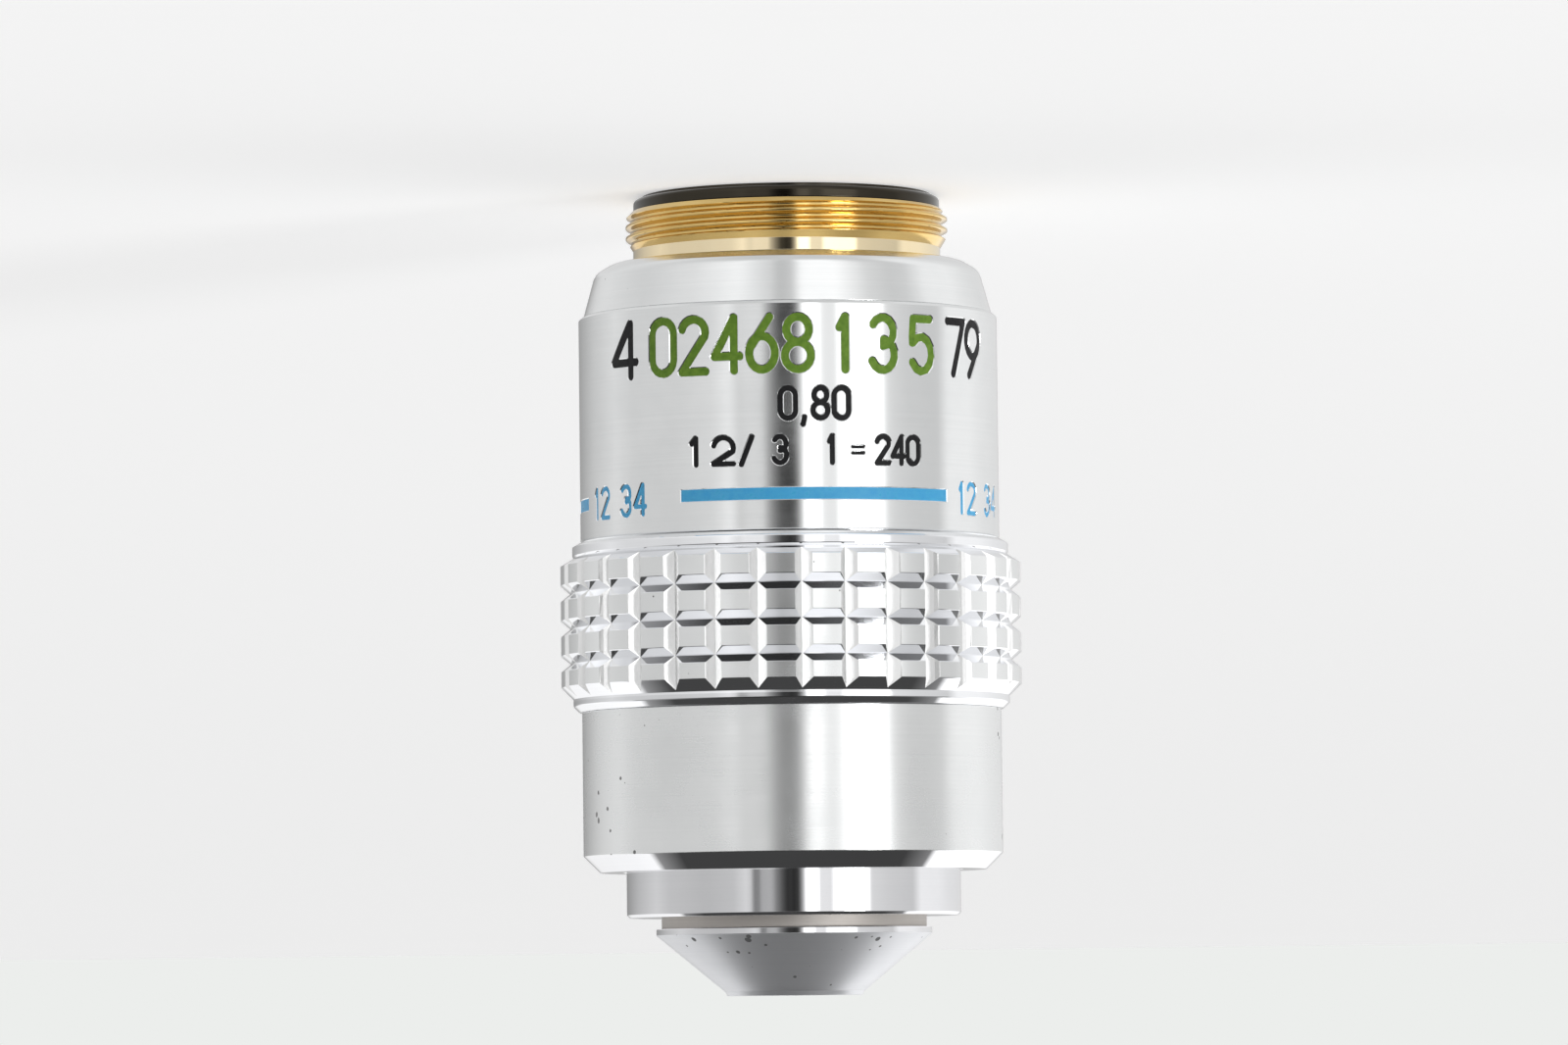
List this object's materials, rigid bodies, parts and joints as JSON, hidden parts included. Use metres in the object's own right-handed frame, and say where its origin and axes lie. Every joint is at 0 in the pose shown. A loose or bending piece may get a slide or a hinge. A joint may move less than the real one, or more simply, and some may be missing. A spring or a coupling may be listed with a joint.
{
  "type": "microscope objective",
  "caption": "Screw-in microscope objective with a knurled chrome barrel, engraved sleeve and a conical nose that springs back into the casing.",
  "frame": {"origin": "centre of the mounting shoulder, on the optical axis", "axes": "+Z along the optical axis from the mounting shoulder to the nose; -Z points out of the thread end"},
  "size_m": [0.0288, 0.0288, 0.0502],
  "materials": {
    "brass": "turned, lightly polished",
    "black_ring": "black anodised",
    "chrome": "polished chrome plate",
    "engraved_chrome": "finely brushed chrome plate with paint-filled engraving",
    "satin_chrome": "satin chrome plate with small pits",
    "steel": "bright steel",
    "black_cell": "matt black anodised",
    "crown_glass": "coated optical glass",
    "flint_glass": "dense optical glass"
  },
  "bodies": {
    "casing": {"mount_barrel": "brass", "rear_stop_ring": "black_ring", "shoulder_ring": "chrome", "engraved_sleeve": "engraved_chrome", "grip_ring": "chrome", "lower_sleeve": "satin_chrome", "guide_screw": "steel", "spring_washer": "steel", "return_spring": "steel"},
    "nose": {"lens_barrel": "brass", "nose_sleeve": "chrome", "nose_cone": "satin_chrome", "front_lens_mount": "steel", "front_lens": "crown_glass", "lens_lock_ring": "black_ring", "meniscus_cell": "black_cell", "meniscus_lens": "crown_glass", "front_doublet_cell": "black_cell", "front_doublet_crown": "crown_glass", "front_doublet_flint": "flint_glass", "front_spacer": "black_cell", "triplet_cell": "black_cell", "triplet_front_crown": "crown_glass", "triplet_flint": "flint_glass", "triplet_rear_crown": "crown_glass", "middle_doublet_cell": "black_cell", "middle_doublet_crown": "crown_glass", "middle_doublet_flint": "flint_glass", "middle_spacer": "black_cell", "rear_doublet_cell": "black_cell", "rear_doublet_crown": "crown_glass", "rear_doublet_flint": "flint_glass", "rear_spacer": "black_cell", "field_doublet_cell": "black_cell", "field_doublet_crown": "crown_glass", "field_doublet_flint": "flint_glass"}
  },
  "joints": [
    {"name": "nose_retract", "type": "slide", "parent": "casing", "child": "nose", "axis": [0, 0, 1], "range_m": [-0.002, 0], "stiffness_N_per_m": 400, "springref_m": 0.005, "deforming": ["return_spring"]}
  ]
}
